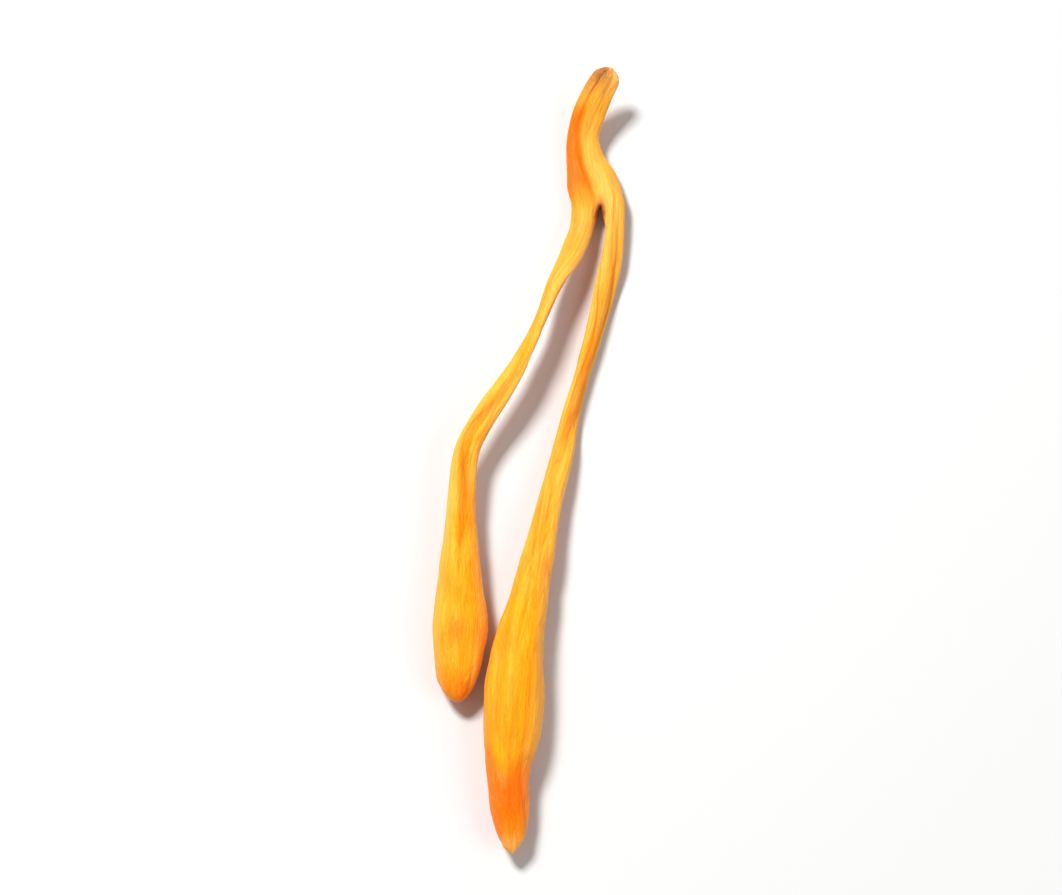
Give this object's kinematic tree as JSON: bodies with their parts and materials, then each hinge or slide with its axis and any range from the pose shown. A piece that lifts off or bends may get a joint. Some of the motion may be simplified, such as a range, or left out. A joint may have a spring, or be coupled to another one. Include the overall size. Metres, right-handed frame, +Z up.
{
  "type": "dried cordyceps",
  "caption": "Dried orange cordyceps lying on its side: slender wrinkled stalks that grew from one flattened foot, each swelling into a club-shaped head.",
  "frame": {"origin": "centre of the underside, on the surface that the piece lies on", "axes": "+Y along the piece towards the foot, the heads are towards -Y, +Z up from the surface"},
  "size_m": [0.0168, 0.0734, 0.0046],
  "materials": {
    "foot_flesh": "dry, furrowed, slightly waxy, deeper orange, paler at the torn tip",
    "club_flesh": "dry, furrowed along its length, waxy and slightly translucent, golden orange"
  },
  "bodies": {
    "root": {"foot": "foot_flesh", "left_club": "club_flesh", "right_club": "club_flesh"}
  },
  "joints": []
}
